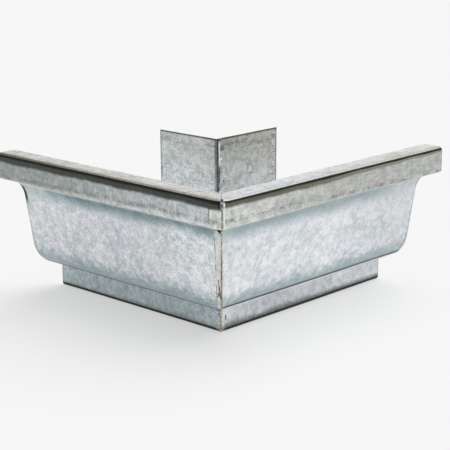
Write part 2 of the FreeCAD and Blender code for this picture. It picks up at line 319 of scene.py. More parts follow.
leftCoat = {
    "length": 173.0, "slant": -0.5, "contrast": 1.75, "hue": 0.42,
    "dimFrom": 30.0, "dimTo": 76.0, "dim": 0.13,
    # the band's darker grey-green tone, darker still far from the corner: a painted dark reflection on the
    # metal's own tone
    "band": tone(216, 221, 221), "bandFar": tone(158, 163, 158), "bandReach": 150.0,
    "brush": 1.0, "rub": 0.4, "dust": 0.3, "footHighlight": 0.85, "footHighlightWidth": 2.5,
    # the dark strip under the lip's top: a painted dark reflection
    "lip": tone(42, 50, 42), "lipFarTone": tone(54, 58, 46),
    "lipNear": 3.5, "lipFar": 3.5, "lipCore": 0.5,
    "flange": tone(216, 216, 208), "flangeFar": tone(220, 218, 210),
    # the lip's outer edge: a painted shade
    "lipEdge": tone(168, 164, 152), "lipEdgeFar": tone(92, 90, 80),
    "throat": 0.95, "throatTop": 66.0, "underBand": 0.75, "belly": 0.8, "warm": 0.2,
    "ledge": 12.4, "crease": 0.8, "creaseTop": 19.2, "creaseShade": tone(58, 62, 48),
    # the strip's teal-grey tone here is a painted shade: it lies in the arm's shadow
    "strip": tone(212, 224, 224), "stripDimAt": 100.0, "stripDim": 0.05, "footDarkDepth": 2.7, "footShare": 0.5,
    "insideLow": tone(250, 252, 252), "insideHigh": tone(226, 228, 220), "streaks": 0.42,
}
# The tabs lie on the left arm's front: creamier, as the solder's flux cleaned them
tabCoat = {**leftCoat, "band": tone(238, 238, 234), "bandFar": tone(238, 238, 234), "onTab": 0.12,
           "strip": tone(216, 222, 226), "belly": 0.3, "throat": 0.3, "underBand": 0.0, "brush": 0.4}


def metalGrain(finish, point, coat, out, spot):
    # the metal: soft clouds, small crystals, curling strokes, scratches and grit
    turn = [0.0, 0.0, 0.0]
    turn[out] = coat["slant"]
    across = [1.0, 1.0, 1.0]
    across[1 - out] = zinc["markLength"]
    brushed = finish.drawnOut(point, (1, 1, zinc["markLength"]), (0.08, 0.06, 0))
    rolled = finish.drawnOut(point, across)
    grain = {
        "cloudy": finish.cloud(point, zinc["blotches"], 4.0, 0.62),
        "broad": finish.cloud(point, zinc["broadClouds"], 3.0, 0.5),
        "patchy": finish.cloud(point, zinc["patches"], 3.0, 0.55, 0.6),
        "crystal": finish.grains(point, zinc["crystals"]),
        "fleck": finish.cloud(point, zinc["flecks"], 2.0, 0.6),
        "speck": finish.cloud(point, zinc["specks"], 1.0, 0.5),
        "brush": finish.cloud(brushed, zinc["brushMarks"], 2.0, 0.6),
        "rolled": finish.cloud(rolled, zinc["rollMarks"], 2.0, 0.6),
    }
    hue = finish.cloud(finish.drawnOut(point, (1, 1, 1.6), turn, (0.3, 0.7, 0.2)), zinc["hues"], 3.0, 0.6)
    curl = finish.cloud(finish.drawnOut(point, (1, 1, 2.2), turn), zinc["curls"], 2.0, 0.6, 1.4)
    colour = finish.mix(grain["cloudy"].rise(0.40, 0.60), zinc["cloud"], zinc["pale"])
    colour = finish.mix(grain["broad"].rise(0.42, 0.68) * 0.5, colour, zinc["white"])
    hueShare = coat["hue"] * (0.35 + spot["outside"] * 0.65)
    colour = finish.mix(hue.rise(0.50, 0.66) * hueShare, colour, zinc["lilac"])
    colour = finish.mix(hue.rise(0.47, 0.34) * hueShare * 1.2, colour, zinc["teal"])
    colour = finish.mix((grain["crystal"] - 0.5).rise(0.1, 0.5) * 0.4, colour, zinc["white"])
    darkCurl = curl.near(0.46, 0.035) * grain["patchy"].rise(0.50, 0.62)
    paleCurl = curl.near(0.57, 0.035) * grain["patchy"].rise(0.52, 0.42)
    colour = finish.mix(darkCurl * 0.42, colour, zinc["gritAndShade"])
    colour = finish.mix(paleCurl * 0.6, colour, zinc["white"])
    return grain, finish.mix(grain["fleck"].rise(0.62, 0.74) * 0.30, colour, zinc["gritAndShade"])


def tabTones(finish, colour, coat, grain, spot):
    # cream and dust on the tabs, most of all on the wall's
    height, bandFoot, stripTop = spot["height"], gutter["bandLevel"], gutter["stripLevel"]
    tabTone = finish.mix(grain["patchy"].rise(0.44, 0.56), zinc["cream"], zinc["dust"])
    onWall = 0.15 + height.rise(bandFoot + 0.5, bandFoot - 1.0) * 0.85
    onWall = onWall * height.rise(stripTop - 0.6, stripTop + 0.6)
    colour = finish.mix(onWall * coat["onTab"], colour, tabTone, "MULTIPLY")
    colour = finish.mix(onWall * 0.4, colour, zinc["cream"])
    scorched = onWall * grain["patchy"].rise(0.56, 0.64) * grain["fleck"].rise(0.40, 0.55)
    return finish.mix(scorched * 0.2, colour, zinc["brown"])


# Heights between which the grey-green painted shade of the hollows comes in, and how far its edge wanders
shadeLevels = {
    "throat": (57.0, 64.0),
    "underBand": (61.0, 66.0),
    "belly": (32.0, 21.0),
    "wander": 9.0,
    "footFrom": 1.6,              # the strip's foot, where its darkening starts
}


def frontTones(finish, colour, coat, grain, spot):
    # the hollows under the band and over the strip, in painted shade, the strip, and its foot: darker, with a
    # painted contact shadow
    height, front, mitre, far = spot["height"], spot["front"], spot["mitre"], spot["far"]
    bandFoot, stripTop, throatTop = gutter["bandLevel"], gutter["stripLevel"], coat["throatTop"]
    ledge, creaseTop = coat["ledge"], coat["creaseTop"]
    dim = front * spot["run"].rise(coat["dimFrom"], coat["dimTo"]) * height.rise(bandFoot, bandFoot - 2)
    colour = finish.scaled(colour, 1 - dim * coat["dim"])
    wander = (grain["cloudy"] - 0.5) * shadeLevels["wander"] + (grain["broad"] - 0.5) * shadeLevels["wander"]
    # painted shade in the throat under the band, deeper right under the band
    throat = front * (height + wander).rise(*shadeLevels["throat"]) * height.rise(throatTop + 1.2, throatTop - 0.8)
    throat = throat * (1 - far.rise(0.82, 1.0) * 0.6)
    colour = finish.mix(throat * coat["throat"], colour, zinc["shade"])
    under = throat * (height + wander * 0.5).rise(*shadeLevels["underBand"])
    under = under * (0.4 + grain["patchy"].rise(0.40, 0.60) * 0.6)
    colour = finish.mix(under * coat["underBand"], colour, zinc["underShade"])
    # painted shade on the belly's underside
    belly = front * (height + wander).rise(*shadeLevels["belly"]) * height.rise(ledge, ledge + 0.8)
    colour = finish.mix(belly * coat["belly"], colour, zinc["shade"])
    streaks = belly * grain["rolled"].rise(0.55, 0.68) * grain["broad"].rise(0.40, 0.55)
    colour = finish.mix(streaks * 0.45, colour, zinc["brown"])
    # the strip's tone: on the left arm a painted shade, as it lies in the arm's shadow
    strip = front * height.rise(stripTop + 0.4, stripTop - 0.1)
    colour = finish.mix(strip, colour, coat["strip"], "MULTIPLY")
    colour = finish.mix(strip * grain["brush"].rise(0.56, 0.68) * 0.25, colour, zinc["white"])
    stripDim = strip * spot["run"].near(coat["stripDimAt"], 55.0) * coat["stripDim"]
    colour = finish.scaled(colour, 1 - stripDim)
    # a painted shadow line along the crease between belly and strip
    crease = front * height.rise(creaseTop, creaseTop - 0.7) * height.rise(ledge, ledge + 0.4)
    colour = finish.mix(crease * coat["crease"], colour, coat["creaseShade"])
    footFrom = shadeLevels["footFrom"]
    # the strip darkens towards its foot
    depth = coat["footDarkDepth"] * (grain["broad"] * 1.6 + grain["patchy"] * 1.2 - 0.3) * (1 - far * 0.45)
    foot = front * ((height - footFrom) / depth + (grain["fleck"] - 0.5) * 0.6).rise(1.3, 0.0)
    colour = finish.mix(foot * coat["footShare"], colour, zinc["stainAndShade"])
    # a painted contact shadow: black along the foot
    colour = finish.mix(front * height.rise(footFrom + 0.7, footFrom), colour, zinc["black"])
    ends = front * spot["run"].rise(coat["length"] - 1.2, coat["length"] - 0.3)
    colour = finish.mix(ends * grain["fleck"].rise(0.40, 0.52) * 0.6, colour, zinc["stainAndShade"])
    # the wall beside the soldered corner is browned and scuffed
    warm = front * (mitre + (grain["patchy"] - 0.5) * 6.0).rise(3.8, 0.8)
    warm = warm * height.rise(bandFoot - 0.4, bandFoot - 2)
    return finish.mix(warm * coat["warm"], colour, zinc["dust"])


def lipTones(finish, colour, coat, grain, spot):
    # the band, its tone partly a painted dark reflection, the dark strip at its top, a painted dark
    # reflection, and the lip
    height, far, reach = spot["height"], spot["far"], spot["reach"]
    bandFoot, lipTop, width = gutter["bandLevel"], gutter["lipLevel"], gutter["width"] / mm
    band = spot["front"] * reach.rise(width - 6, width - 4) * height.rise(bandFoot - 0.6, bandFoot + 0.2)
    # the band's tone: a painted dark reflection, darker away from the corner, on the metal's own tone
    bandTone = finish.mix(spot["run"].rise(5, coat["bandReach"]), coat["band"], coat["bandFar"])
    colour = finish.mix(band * 0.85, colour, bandTone, "MULTIPLY")
    strokes = (grain["brush"] - 0.5) * coat["brush"] + (grain["rolled"] - 0.5) * coat["rub"]
    colour = finish.scaled(colour, 1 + band * strokes)
    colour = finish.mix(band * grain["patchy"].rise(0.52, 0.66) * coat["dust"], colour, zinc["dust"])
    # a painted highlight along the band's foot bend
    footWidth = coat["footHighlightWidth"] - far * 0.6
    footHighlight = band * height.near(bandFoot + 0.9, footWidth) * grain["cloudy"].rise(0.34, 0.54)
    colour = finish.mix(footHighlight * coat["footHighlight"] * (1 - far * 0.8), colour, zinc["cream"])
    grimeLine = height + (grain["broad"] - 0.5) * 5.0 + far * 2.0
    grime = band * grimeLine.near(bandFoot + 4.2, 2.0) * grain["fleck"].rise(0.46, 0.56)
    colour = finish.mix(grime * grain["patchy"].rise(0.38, 0.54) * 0.75, colour, zinc["brown"])
    specks = band * grain["speck"].rise(0.62, 0.70) * grain["broad"].rise(0.40, 0.56)
    colour = finish.mix(specks * 0.6, colour, zinc["gritAndShade"])
    flange = spot["outside"] * height.rise(lipTop - 0.8, lipTop - 0.4)
    # the dark strip under the lip's top: a painted dark reflection, wider near the corner, with a softer
    # lower edge
    depth = coat["lipNear"] + (coat["lipFar"] - coat["lipNear"]) * far
    soft = height - (lipTop - 1.1) + depth + (grain["broad"] - 0.5) * 1.8 + (grain["patchy"] - 0.5) * 1.2
    lip = band * soft.rise(-1.3, 0.9) * (1 - flange)
    colour = finish.mix(lip * 0.96, colour, finish.mix(far, coat["lip"], coat["lipFarTone"]))
    colour = finish.mix(band * soft.near(0.2, 0.5) * 0.5, colour, zinc["stainAndShade"])
    # its black core, part of the painted dark reflection
    core = height + (grain["broad"] - 0.5) * 1.2 - (lipTop - 1.3) + coat["lipCore"]
    colour = finish.mix(band * core.rise(-0.6, 0.3) * (1 - flange), colour, zinc["black"])
    # the top of the lip: worn pale, with brown rubs that run along it
    colour = finish.mix(flange * 0.75, colour, finish.mix(far, coat["flange"], coat["flangeFar"]))
    rubs = flange * grain["rolled"].rise(0.50, 0.64) * grain["patchy"].rise(0.40, 0.56)
    colour = finish.mix(rubs * 0.5, colour, zinc["brown"])
    colour = finish.mix(flange * grain["rolled"].rise(0.46, 0.36) * 0.35, colour, zinc["white"])
    # the lip's bend: a painted shade
    bend = spot["outside"] * reach.rise(width - 2.7, width - 1.5) * height.rise(lipTop - 0.75, lipTop - 0.5)
    colour = finish.mix(bend * 0.9, colour, finish.mix(far, coat["lipEdge"], coat["lipEdgeFar"]))
    return finish.mix(flange * spot["mitre"].near(0.0, 0.45) * 0.85, colour, zinc["gritAndShade"])


def innerTones(finish, colour, coat, grain, spot):
    # the inner side: duller and streaked towards the top of the back, with a dark cut edge
    height, inside, reach = spot["height"], 1 - spot["outside"], spot["reach"]
    edge, length = gutter["backLevel"], coat["length"]
    back = inside * reach.rise(60, 20)
    rise = (height + (grain["broad"] - 0.5) * 26.0).rise(edge - 34, edge - 2)
    dull = finish.mix(rise, coat["insideLow"], coat["insideHigh"])
    colour = finish.mix(back, colour, dull, "MULTIPLY")
    streaks = back * (grain["rolled"].rise(0.52, 0.66) + grain["brush"].rise(0.52, 0.66)).clamped()
    colour = finish.mix(streaks * grain["patchy"].rise(0.36, 0.60) * coat["streaks"], colour, zinc["brown"])
    colour = finish.mix(back * grain["patchy"].rise(0.58, 0.70) * 0.3, colour, zinc["white"])
    smear = back * (height + (grain["broad"] - 0.5) * 6.0).near(edge - 5.5, 3.5)
    colour = finish.mix(smear * grain["rolled"].rise(0.42, 0.58) * 0.4, colour, zinc["gritAndShade"])
    ends = back * spot["run"].rise(length - 1.5, length - 0.4) * grain["fleck"].rise(0.36, 0.48)
    cutEdge = (reach.rise(8, 4) * height.rise(edge - 1.3, edge - 0.5) + ends * 0.8).clamped()
    colour = finish.mix(cutEdge * 0.88, colour, zinc["stainAndShade"])
    colour = finish.scaled(colour, 1 - inside * reach.rise(60, 80) * 0.12)
    return foldTones(finish, colour, coat, grain, spot)


# Flux in the fold where the two backs meet, with a painted highlight and a painted shade: round spots on the
# right arm's back, each (along the arm, height, radius), and distances along the left arm, all in millimetres
foldMarks = {
    "smudge": (129.0, 75.6, 2.4),
    "smudgeHole": (129.2, 73.4, 1.3),
    "drip": (130.0, 55.5, 0.8),
    "driplet": (131.5, 57.0, 1.0),
    "bright": (128.4, 69.4, 0.9),
    "brightLine": 127.3,
    "beside": (127.2, 124.6),
    "upperLine": 125.5,
    "lowerLine": 124.0,
}


def foldTones(finish, colour, coat, grain, spot):
    # the lapped fold where the two backs meet: dark flux in it, a painted shade beside it on the left back,
    # and drips, spots and a painted highlight on the right back
    height, run = spot["height"], spot["run"]
    back = (1 - spot["outside"]) * spot["reach"].rise(6, 3) * height.rise(14, 24)
    if coat is rightCoat:
        smudges = blot(spot, *foldMarks["smudge"]) * (1 - blot(spot, *foldMarks["smudgeHole"])) * 0.7
        smudges = smudges + blot(spot, *foldMarks["drip"]) * 0.85 + blot(spot, *foldMarks["driplet"]) * 0.3
        colour = finish.mix((smudges * back).clamped(), colour, zinc["foldFluxAndShade"])
        # a painted highlight: a spot and a line beside the fold
        line = run.near(foldMarks["brightLine"], 0.5) * grain["fleck"].rise(0.42, 0.54) * 0.6
        bright = blot(spot, *foldMarks["bright"]) + line
        return finish.mix((bright * back).clamped() * 0.9, colour, zinc["white"])
    lap = back * spot["reach"].rise(0.1, -0.15)
    colour = finish.mix(lap * grain["brush"].rise(0.36, 0.56) * 0.8, colour, zinc["foldFluxAndShade"])
    # a painted shade beside the fold on the left back
    beside = back * (1 - lap) * (run + (grain["cloudy"] - 0.5) * 2.0).rise(*foldMarks["beside"])
    colour = finish.mix(beside * 0.75, colour, zinc["foldFluxAndShade"])
    upper = run.near(foldMarks["upperLine"], 0.35) * height.rise(66, 72)
    lines = back * (upper + run.near(foldMarks["lowerLine"], 0.45)).clamped()
    return finish.mix(lines * 0.9, colour, zinc["stainAndShade"])


def blot(spot, run, height, radius):
    # 1 within a round spot on the wall, this far along the arm and this high
    away = ((spot["run"] - run) ** 2.0 + (spot["height"] - height) ** 2.0) ** 0.5
    return away.rise(radius, radius * 0.6)


def stroke(spot, start, end, width):
    # 1 along a straight ragged stroke in front; both its ends are (from the mitre's plane, height)
    alongBy, upBy = end[0] - start[0], end[1] - start[1]
    fromAlong, fromHeight = spot["ragged"] - start[0], spot["height"] - start[1]
    share = ((fromAlong * alongBy + fromHeight * upBy) / (alongBy ** 2 + upBy ** 2)).clamped()
    away = ((fromAlong - share * alongBy) ** 2.0 + (fromHeight - share * upBy) ** 2.0) ** 0.5
    return away.rise(width * 0.6, width * 0.25) * spot["front"]


# Black flux in ragged strokes, each (from, to, width). Their ends are (along the arm from the
# mitre's plane, height), in millimetres, on the left arm but for the tick on the right arm.
flux = {
    "notch": ((2.2, 66.2), (0.2, 64.7), 1.9),
    "hooks": (((2.4, 38.0), (1.7, 34.0), 0.9), ((1.7, 34.0), (1.3, 31.2), 1.1),
              ((1.4, 31.6), (2.6, 28.6), 1.2), ((1.2, 30.4), (0.5, 27.9), 1.5)),
    "smudge": ((1.7, 10.4), (0.0, 10.1), 1.5),
    "tick": ((3.6, 8.9), (3.6, 6.8), 1.1),
    "pointTone": tone(150, 156, 164),
    "pointFrom": (82.3, 83.1),    # heights between which the lip's blunt point comes in
    "pit": 83.6,                  # height of the lower pit in the point
}


def seamTones(finish, colour, coat, grain, spot):
    # burnt flux along the corner, painted highlights on the right arm's folded corner, painted shadows along
    # the tabs' edges, and black flux in strokes beside them
    height, front, mitre, reach = spot["height"], spot["front"], spot["mitre"], spot["reach"]
    bandFoot, lipTop, stripTop = gutter["bandLevel"], gutter["lipLevel"], gutter["stripLevel"]
    width = gutter["width"] / mm
    uneven = (grain["cloudy"] - 0.5) * 0.8
    onBand = height.rise(bandFoot - 0.4, bandFoot + 0.2) * height.rise(lipTop - 1.1, lipTop - 1.7)
    if coat is rightCoat:
        # painted highlights: the right arm's fold round the corner, on the band and on the strip
        pale = front * onBand * (mitre + uneven).near(1.6, 0.9)
        stripEdge = front * height.rise(stripTop + 0.2, stripTop - 0.3) * height.rise(2.4, 4.0)
        pale = (pale + stripEdge * (mitre + uneven).near(1.7, 1.5)).clamped()
        colour = finish.mix(pale * 0.8, colour, zinc["cream"])
        # a painted highlight along the strip's top edge near the corner
        topEdge = front * height.near(stripTop - 0.5, 0.7) * mitre.rise(32.0, 4.0)
        colour = finish.mix(topEdge * 0.7, colour, zinc["white"])
        colour = finish.mix(stroke(spot, *flux["tick"]) * 0.85, colour, zinc["black"])
    else:
        onWall = height.rise(stripTop, stripTop + 1) * height.rise(bandFoot - 0.6, bandFoot - 1.4)
        # a painted shadow along the wall tab's edge
        beside = front * onWall * (mitre - wallTabWidth(height)).near(0.2, 0.5)
        colour = finish.mix(beside * grain["patchy"].rise(0.40, 0.58) * 0.8, colour, zinc["gritAndShade"])
        # a painted shadow along the band tab's edge
        beside = front * onBand * (mitre - tabs["band"]).near(0.2, 0.5)
        beside = beside * height.rise(bandFoot + 1, bandFoot + 6)
        colour = finish.mix(beside * 0.85, colour, zinc["stainAndShade"])
        # a gap's shadow at the far end of the wall
        ending = front * spot["run"].rise(coat["length"] - 3, coat["length"] - 1.4)
        ending = ending * height.rise(53.0, 58.0) * height.rise(67.0, 64.0)
        colour = finish.mix(ending, colour, zinc["black"])
        # the dark strip's end at the lip's point, a painted dark reflection, the notch under the band, and
        # the hooked smears
        lipEnd = front * (mitre + uneven).near(2.2, 1.1) * height.near(lipTop - 2.6, 2.2)
        under = front * height.rise(bandFoot - 0.1, bandFoot - 0.5) * mitre.rise(2.4, 1.8)
        under = under * (height - mitre * 0.75).rise(64.6, 65.4)
        gaps = lipEnd + under + stroke(spot, *flux["notch"])
        colour = finish.mix(gaps.clamped() * 0.95, colour, zinc["black"])
        smears = stroke(spot, *flux["smudge"]) * 0.6
        for place in flux["hooks"]:
            smears = smears + stroke(spot, *place)
        colour = finish.mix(smears.clamped() * 0.8, colour, zinc["black"])
    burnt = front * (mitre + uneven * 0.4).rise(0.8, 0.3) * height.rise(lipTop - 3.4, lipTop - 4)
    burnt = burnt * (0.35 + grain["patchy"].rise(0.38, 0.58) * 0.45)
    colour = finish.mix(burnt, colour, zinc["burnt"])
    # the blunt point of the lip: a pale channel with two black pits in it
    point = front * reach.rise(width - 3.5, width - 2.5) * height.rise(*flux["pointFrom"])
    colour = finish.mix(point * mitre.size().rise(1.2, 0.8) * 0.9, colour, flux["pointTone"])
    pits = (height.rise(lipTop - 1, lipTop - 0.7) + height.near(flux["pit"], 1.1)).clamped()
    pits = pits * mitre.size().rise(1.0, 0.5)
    return finish.mix((point * pits).clamped(), colour, zinc["black"])


def zincFinish(name, coat, along, out, alongStart, wall):
    # along and out are the indices of the axes that run along the arm and out from its wall
    finish = Finish(name)
    point, parts = finish.place()
    run = (parts[along] - alongStart) / mm            # from the lip's corner
    reach = (wall - parts[out]) / mm                  # out from the wall
    outside = finish.add("ShaderNodeAttribute", {"attribute_name": "outerSide"}, output=2)
    spot = {
        "run": run, "reach": reach, "height": parts[2] / mm, "outside": outside,
        "front": outside * reach.rise(60, 70), "far": run.rise(20, coat["length"]),
        "mitre": run + reach - gutter["width"] / mm,  # along the arm from the mitre's plane
    }
    grain, colour = metalGrain(finish, point, coat, out, spot)
    if "onTab" in coat:
        colour = tabTones(finish, colour, coat, grain, spot)
    spot["ragged"] = spot["mitre"] + (grain["fleck"] - 0.5) * 1.2
    colour = frontTones(finish, colour, coat, grain, spot)
    colour = lipTones(finish, colour, coat, grain, spot)
    colour = innerTones(finish, colour, coat, grain, spot)
    colour = seamTones(finish, colour, coat, grain, spot)
    crisp = (grain["fleck"] - 0.5) * 0.60 + (grain["speck"] - 0.5) * 0.55 + (grain["cloudy"] - 0.5) * 0.32
    colour = finish.scaled(colour, 1.0 + crisp * coat["contrast"])

    bumps = grain["cloudy"] * 0.5 + grain["crystal"] * 0.15 + grain["fleck"] * 0.2 + grain["brush"] * 0.2
    normal = finish.add("ShaderNodeBump", None, {
        "Strength": zinc["bumpStrength"], "Distance": zinc["bumpDepth"], "Height": bumps})
    innerFront = (1 - outside) * reach.rise(60, 80)
    roughness = zinc["roughness"] + (grain["cloudy"] - 0.5) * 0.3 + innerFront * zinc["innerRoughness"]
    shader = finish.add("ShaderNodeBsdfPrincipled", None, {
        "Base Color": colour, "Metallic": zinc["metallic"], "Roughness": roughness, "Normal": normal})
    return finish.close(shader)


# Tin, more or less burnt by its flux
tin = {
    "clean": {"dull": tone(182, 180, 170), "bright": tone(242, 242, 236), "brown": 0.4},
    "burnt": {"dull": tone(112, 108, 94), "bright": tone(168, 164, 148), "brown": 0.6},
    "metallic": 0.6,
    "roughness": 0.32,
    "blotches": 420.0,
    "patches": 190.0,
    "bumpStrength": 0.3,
    "bumpDepth": 0.3 * mm,
}


def solderFinish(name, dull, bright, brown):
    finish = Finish(name)
    point, parts = finish.place()
    blotch = finish.cloud(point, tin["blotches"], 3.0, 0.6)
    patch = finish.cloud(point, tin["patches"], 2.0, 0.5)
    colour = finish.mix(blotch.rise(0.4, 0.62), dull, bright)
    colour = finish.mix(patch.rise(0.54, 0.64) * brown, colour, zinc["brown"])
    normal = finish.add("ShaderNodeBump", None, {
        "Strength": tin["bumpStrength"], "Distance": tin["bumpDepth"], "Height": blotch})
    shader = finish.add("ShaderNodeBsdfPrincipled", None, {
        "Base Color": colour, "Metallic": tin["metallic"], "Roughness": tin["roughness"] + blotch * 0.2,
        "Normal": normal})
    return finish.close(shader)


rightZinc = zincFinish("zincRight", rightCoat, 0, 1, bandFaceLeft, wallY)
leftZinc = zincFinish("zincLeft", leftCoat, 1, 0, bandFaceRight, wallX)
tabZinc = zincFinish("zincTabs", tabCoat, 1, 0, bandFaceRight, wallX)
solder = solderFinish("solderTin", **tin["clean"])
burntSolder = solderFinish("burntTin", **tin["burnt"])
for nodeName in ("front_seam_solder", "floor_seam_solder"):
    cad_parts[nodeName].data.materials[0] = solder
print("finishes made")

# The two arms, made from the frame's own solids

sheetMetal = {
    "cell": 3 * mm,               # largest side of a face once the sheet is divided
    "sway": 0.22 * mm,            # how far the sheet wanders from true
    "swayLength": 55 * mm,
    "ripple": 0.06 * mm,
    "rippleLength": 14 * mm,
    "seed": 377,                  # of the waves, which would otherwise differ each run
    "creaseAngle": radians(32),
    "backDepth": 5 * mm,          # what lies nearer the wall's plane than this is the back
    "tabFoot": 1.6 * mm,          # the tabs start above the lap on the floor,
    "tabReach": 60 * mm,          # and lie this far out from the wall
}
# The lip's point, worn blunt, and the band's corner below it
corner = {
    "cell": 0.8 * mm,             # finer faces near it
    "cuts": 8,
    "spread": 6.5 * mm,
    "push": 1.7 * mm,
    "dip": 0.5 * mm,
    "pushFrom": 82.8,             # height in millimetres, and over how many more it comes in
    "pushOver": 2.4,
    "seamPush": 0.28 * mm,        # room for the solder that stands on the band's corner
    "seamPushFrom": 68.0,
    "seamPushOver": 4.0,
    "depth": 4 * mm,              # how far down the point is worn on its outer side
}

noise.seed_set(sheetMetal["seed"])


def swayAt(point):
    slow = noise.noise_vector(point / sheetMetal["swayLength"]) * sheetMetal["sway"]
    fast = noise.noise_vector(point / sheetMetal["rippleLength"]) * sheetMetal["ripple"]
    return slow + fast


def cornerWear(point):
    # The band's corner stands back a little for its solder, and the lip's point is blunt and dips
    away = Vector((point.x - bandFaceLeft, point.y - bandFaceRight)).length
    near = max(0.0, 1 - away / corner["spread"]) ** 2
    onLip = near * min(max((point.z / mm - corner["pushFrom"]) / corner["pushOver"], 0.0), 1.0)
    onBand = near * min(max((point.z / mm - corner["seamPushFrom"]) / corner["seamPushOver"], 0.0), 1.0)
    push = corner["push"] * onLip + corner["seamPush"] * onBand
    return Vector((push, push, -corner["dip"] * onLip))


def isOuter(face, outward, wallPoint):
    # True on the faces outside the folded channel, and on the lip's top
    across = face.normal.dot(outward)
    if (face.center - wallPoint).dot(outward) < sheetMetal["backDepth"]:
        across = -across
    onLip = face.center.z > gutter["top"] - gutter["lipBend"] and face.normal.z > -0.1
    onPoint = face.center.z > gutter["top"] - corner["depth"] and across > 0.2
    return onLip or onPoint or across - face.normal.z > 0


def isTab(face):
    # True on the faces on the other arm's side of the mitre, in front
    reachLeft, reachRight = wallX - face.center.x, wallY - face.center.y
    inFront = reachLeft > sheetMetal["tabReach"] and face.center.z > sheetMetal["tabFoot"]
    return inFront and reachLeft > reachRight


def sheetPiece(name, nodeName, material, outward, tabMaterial=None):
    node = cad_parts[nodeName]
    body = bmesh.new()
    body.from_mesh(node.data)
    bmesh.ops.remove_doubles(body, verts=body.verts, dist=1e-6)
    bmesh.ops.dissolve_limit(body, angle_limit=radians(0.5), verts=body.verts, edges=body.edges)
    low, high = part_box(nodeName)
    cornerAt = (bandFaceLeft, bandFaceRight, gutter["top"])
    for axis in range(3):
        normal = Vector((0, 0, 0))
        normal[axis] = 1
        count = int((high[axis] - low[axis]) / sheetMetal["cell"]) + 1
        cuts = [low[axis] + (high[axis] - low[axis]) * index / count for index in range(1, count)]
        inward = -1 if axis == 2 else 1
        fine = [corner["cell"] * index * inward for index in range(1, corner["cuts"])]
        for place in cuts + [cornerAt[axis] + offset for offset in fine]:
            everything = [*body.verts, *body.edges, *body.faces]
            bmesh.ops.bisect_plane(body, geom=everything, dist=1e-7, plane_co=normal * place, plane_no=normal)
    for vertex in body.verts:
        moved = vertex.co + swayAt(vertex.co) + cornerWear(vertex.co)
        vertex.co = [min(max(moved[axis], low[axis]), high[axis]) for axis in range(3)]
    mesh = bpy.data.meshes.new(name)
    body.to_mesh(mesh)
    body.free()
    mesh.shade_smooth()
    mesh.set_sharp_from_angle(angle=sheetMetal["creaseAngle"])
    mesh.materials.append(material)
    mesh.materials.append(tabMaterial or material)
    marks = mesh.attributes.new("outerSide", "FLOAT", "FACE")
    wallPoint = Vector((wallX, wallY, 0))
    for face, mark in zip(mesh.polygons, marks.data):
        onTab = tabMaterial is not None and isTab(face)
        face.material_index = int(onTab)
        mark.value = float(onTab or isOuter(face, outward, wallPoint))
    piece = bpy.data.objects.new(name, mesh)
    bpy.context.scene.collection.objects.link(piece)
    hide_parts(nodeName)
    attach(piece, "root")
    print(name, len(mesh.polygons), "faces")
    return piece


sheetPiece("rightArmSheet", "right_arm", rightZinc, Vector((0, -1, 0)), tabZinc)
sheetPiece("leftArmSheet", "left_arm", leftZinc, Vector((-1, 0, 0)))

# The soldered corner: a ragged bead down the mitre, with tacks and drops on it and on the tab

seam = {
    "foot": 1.2 * mm,
    "head": 82.4 * mm,
    "rise": 0.5 * mm,             # from one point of its path to the next
    "tabFoot": 22 * mm,
    "tabHead": 64 * mm,
}
beadSizes = {"spacing": 0.5 * mm, "radius": 0.24 * mm, "lumps": 260.0, "seed": 3}
tackSizes = {"spacing": 2.1 * mm, "small": 0.2 * mm, "large": 0.44 * mm, "share": 0.28, "seed": 11}
dropSizes = {"spacing": 0.0, "small": 0.4 * mm, "large": 0.65 * mm, "share": 1.0, "seed": 5}
# Where the larger drops sit: height, and distance along the left arm from the mitre's plane
dropSpots = ((80.6, 1.0), (82.0, 0.4), (62.1, 0.2), (53.2, 0.5), (31.6, 0.6), (24.8, 0.3), (1.6, 0.0))

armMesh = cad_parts["right_arm"].data
armSides = BVHTree.FromPolygons([v.co for v in armMesh.vertices], [p.vertices for p in armMesh.polygons])


def seamPoint(height, along=0.0):
    # On the outside at this height, so far along the left arm from the mitre
    start = Vector((20 * mm, rightLow.y - 50 * mm, height))
    reach = wallY - armSides.ray_cast(start, Vector((0, 1, 0)))[0].y
    point = Vector((wallX - reach, wallY - reach + along, height))
    return point + swayAt(point) + cornerWear(point)


def heightsBetween(low, high):
    count = int((high - low) / seam["rise"]) + 1
    return [low + (high - low) * index / count for index in range(count + 1)]


def chain(points):
    return [(index, index + 1) for index in range(len(points) - 1)]


def solderPiece(name, growth, points, edges):
    piece = growth.grow(name, points, edges)
    for vertex in piece.data.vertices:
        vertex.co = [min(max(vertex.co[axis], frameLow[axis]), frameHigh[axis]) for axis in range(3)]
    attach(piece, "root")
    print(name, len(piece.data.polygons), "faces")


def beadGrowth():
    growth = Growth("solderBead", beadSizes)
    line = growth.add("GeometryNodeMeshToCurve", None, [growth.size("path")])
    line = growth.add("GeometryNodeResampleCurve", {"mode": "LENGTH"}, {0: line, 3: growth.size("spacing")})
    place = growth.add("GeometryNodeInputPosition")
    lumps = growth.add("ShaderNodeTexNoise", {"noise_dimensions": "4D"}, {
        "Vector": place, "W": growth.size("seed"), "Scale": growth.size("lumps"), "Detail": 2.0})
    radius = growth.size("radius") * (0.25 + lumps.rise(0.38, 0.68))
    ring = growth.add("GeometryNodeCurvePrimitiveCircle", None, {"Resolution": 8, "Radius": 1.0})
    bead = growth.add("GeometryNodeCurveToMesh", None, {0: line, 1: ring, 2: radius, 3: True})
    growth.close(bead, burntSolder)
    return growth


